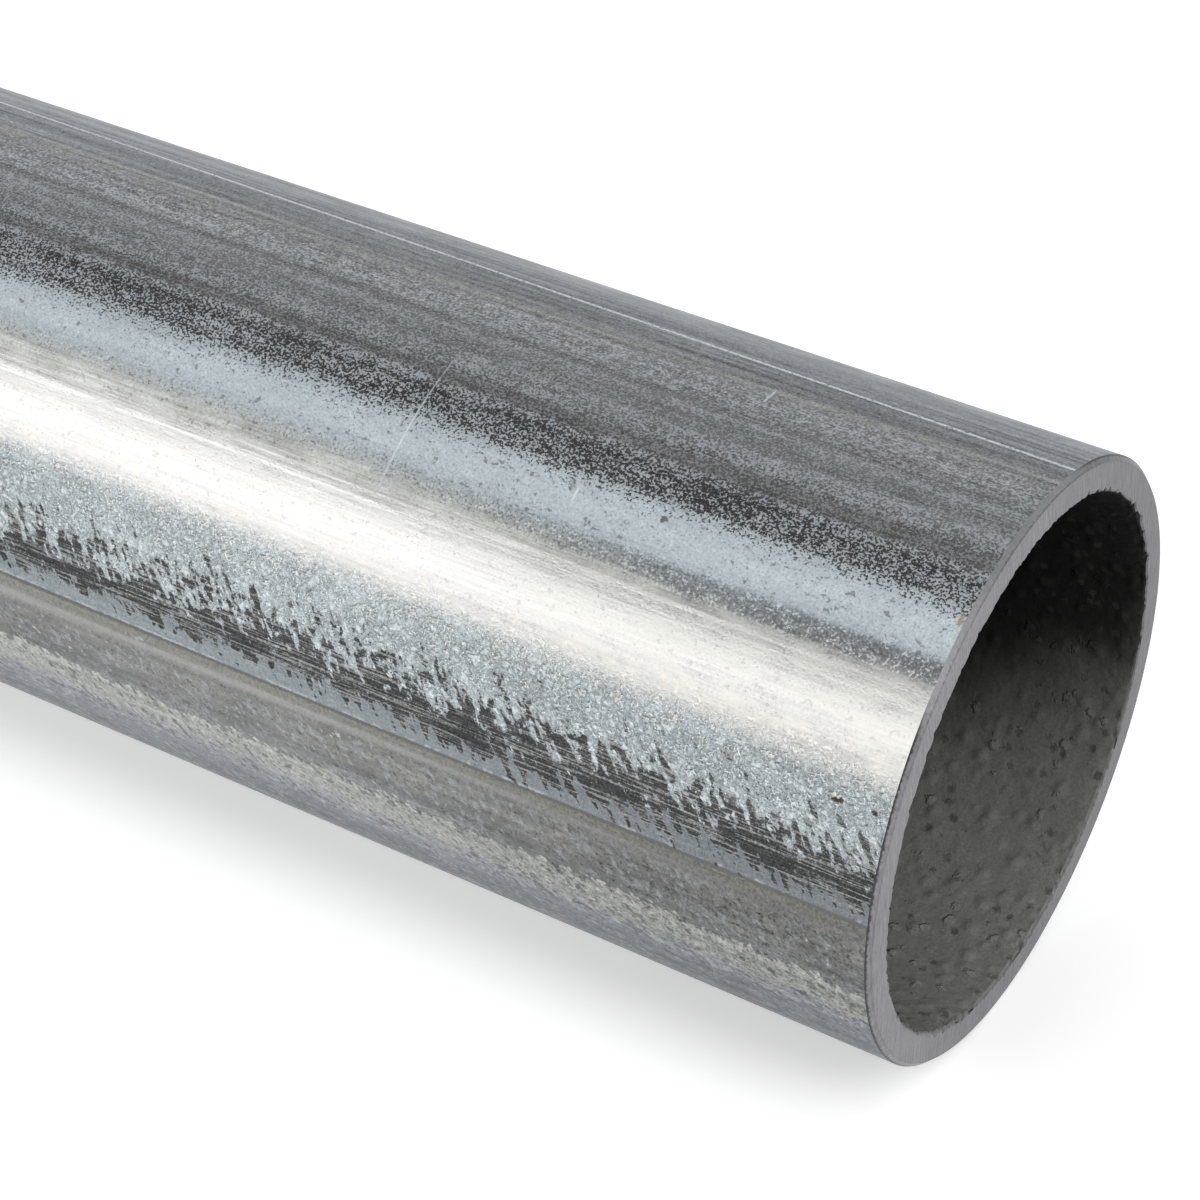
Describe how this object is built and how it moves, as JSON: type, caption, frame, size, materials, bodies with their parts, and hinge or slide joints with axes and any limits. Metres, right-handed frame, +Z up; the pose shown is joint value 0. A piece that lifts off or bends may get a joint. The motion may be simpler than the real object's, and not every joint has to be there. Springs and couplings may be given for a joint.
{
  "type": "galvanised steel pipe",
  "caption": "Straight round galvanised steel pipe with a plain through bore and square, deburred sawn ends, for posts, railings, frames and clamp fittings.",
  "frame": {"origin": "on the floor plane under the middle of the pipe's length", "axes": "+X along the pipe's axis towards the sawn end that the picture shows, +Z up; the pipe lies on its side on the plane Z = 0"},
  "size_m": [1, 0.0602, 0.0603],
  "materials": {
    "galvanised_steel": "hot-dip galvanised: mottled grey and bright zinc in bands along the length, bare saw-cut steel on the end faces, dark rough zinc in the bore"
  },
  "bodies": {
    "root": {"pipe": "galvanised_steel"}
  },
  "joints": []
}
